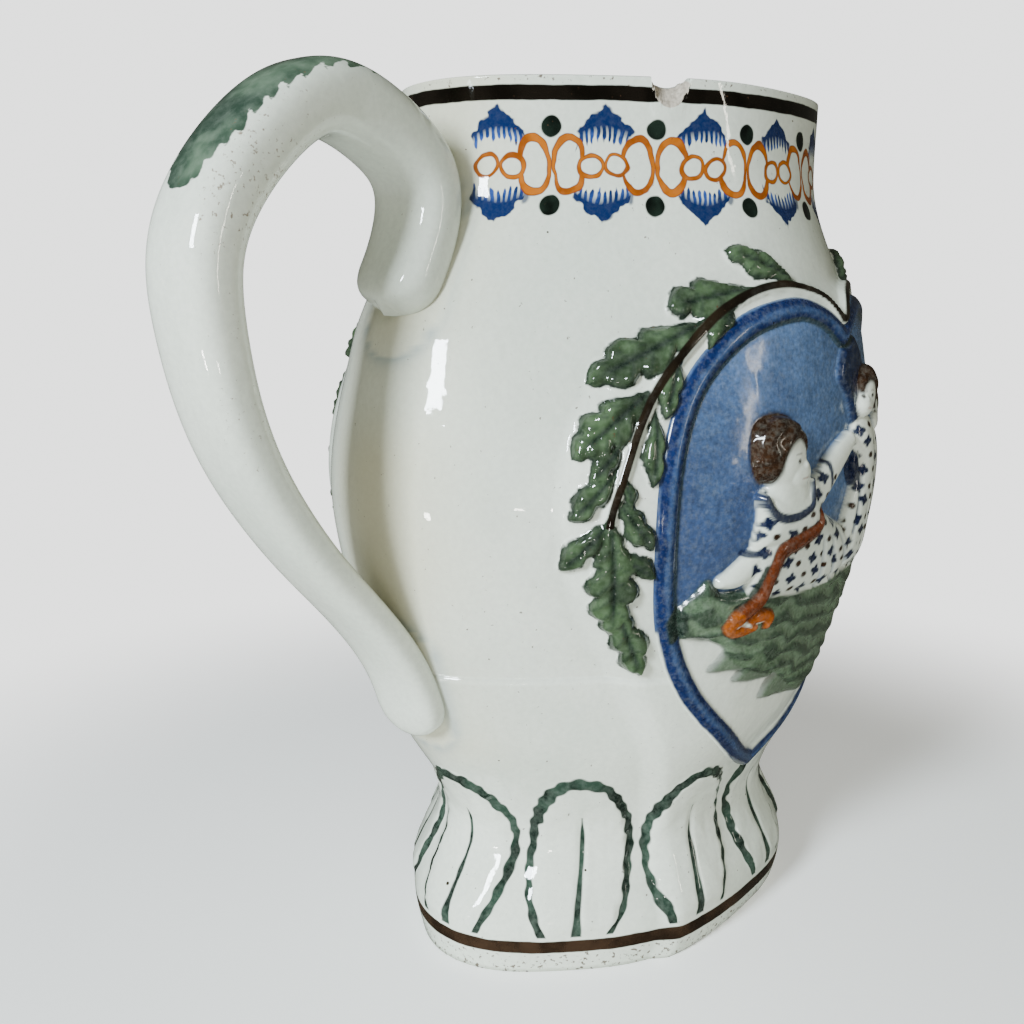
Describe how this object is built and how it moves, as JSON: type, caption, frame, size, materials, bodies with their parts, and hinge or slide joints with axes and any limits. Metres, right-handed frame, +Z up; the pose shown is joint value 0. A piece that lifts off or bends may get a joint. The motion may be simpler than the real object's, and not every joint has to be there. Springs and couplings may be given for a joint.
{
  "type": "pearlware jug",
  "caption": "Moulded pottery jug with a strap handle, a low pouring lip, a heart-shaped relief on each side and a ring of leaves round its foot.",
  "frame": {"origin": "on the jug's axis, at the ground under its foot", "axes": "+Z up along the jug's axis, +X toward the pouring lip with the handle at -X, and the two heart medallions facing -Y and +Y"},
  "size_m": [0.1542, 0.0985, 0.1528],
  "materials": {
    "pearlware": "clear glaze with a faint blue-grey cast over cream clay, painted under the glaze in blue, green, brown and orange"
  },
  "bodies": {
    "root": {"jug": "pearlware"}
  },
  "joints": []
}
